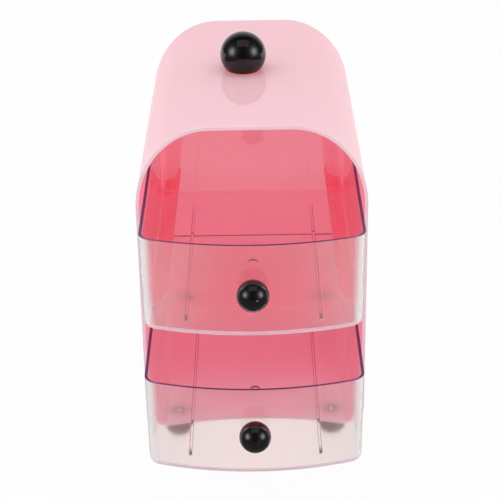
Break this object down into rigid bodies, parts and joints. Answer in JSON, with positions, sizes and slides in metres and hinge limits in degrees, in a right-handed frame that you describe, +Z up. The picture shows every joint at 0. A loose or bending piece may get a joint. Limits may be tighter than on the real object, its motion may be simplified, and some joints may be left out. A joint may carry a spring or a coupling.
{
  "type": "makeup storage case",
  "caption": "Arch-shaped tabletop makeup storage case with clear pull-out drawers, a ball handle on top, ball knobs and ball feet.",
  "frame": {"origin": "on the ground, under the middle of the object's box as it stands with both drawers partly open", "axes": "+Z up, the open front and the drawers face -Y, +X to the right as seen from the front"},
  "size_m": [0.14, 0.2776, 0.2488],
  "materials": {
    "pink_plastic": "gloss, translucent",
    "clear_plastic": "gloss, clear",
    "black_plastic": "gloss",
    "screw_steel": "satin"
  },
  "bodies": {
    "case": {"case_body": "pink_plastic", "top_knob": "black_plastic", "top_knob_screw": "screw_steel", "front_left_foot": "black_plastic", "front_right_foot": "black_plastic", "back_left_foot": "black_plastic", "back_right_foot": "black_plastic", "front_left_foot_screw": "screw_steel", "front_right_foot_screw": "screw_steel", "back_left_foot_screw": "screw_steel", "back_right_foot_screw": "screw_steel"},
    "upper_drawer": {"upper_drawer": "clear_plastic", "upper_drawer_knob": "black_plastic", "upper_drawer_knob_screw": "screw_steel"},
    "lower_drawer": {"lower_drawer": "clear_plastic", "lower_drawer_knob": "black_plastic", "lower_drawer_knob_screw": "screw_steel"}
  },
  "joints": [
    {"name": "upper_drawer_slide", "type": "slide", "parent": "case", "child": "upper_drawer", "axis": [0, -1, 0], "range_m": [-0.0441, 0.1059]},
    {"name": "lower_drawer_slide", "type": "slide", "parent": "case", "child": "lower_drawer", "axis": [0, -1, 0], "range_m": [-0.0534, 0.0966]}
  ]
}
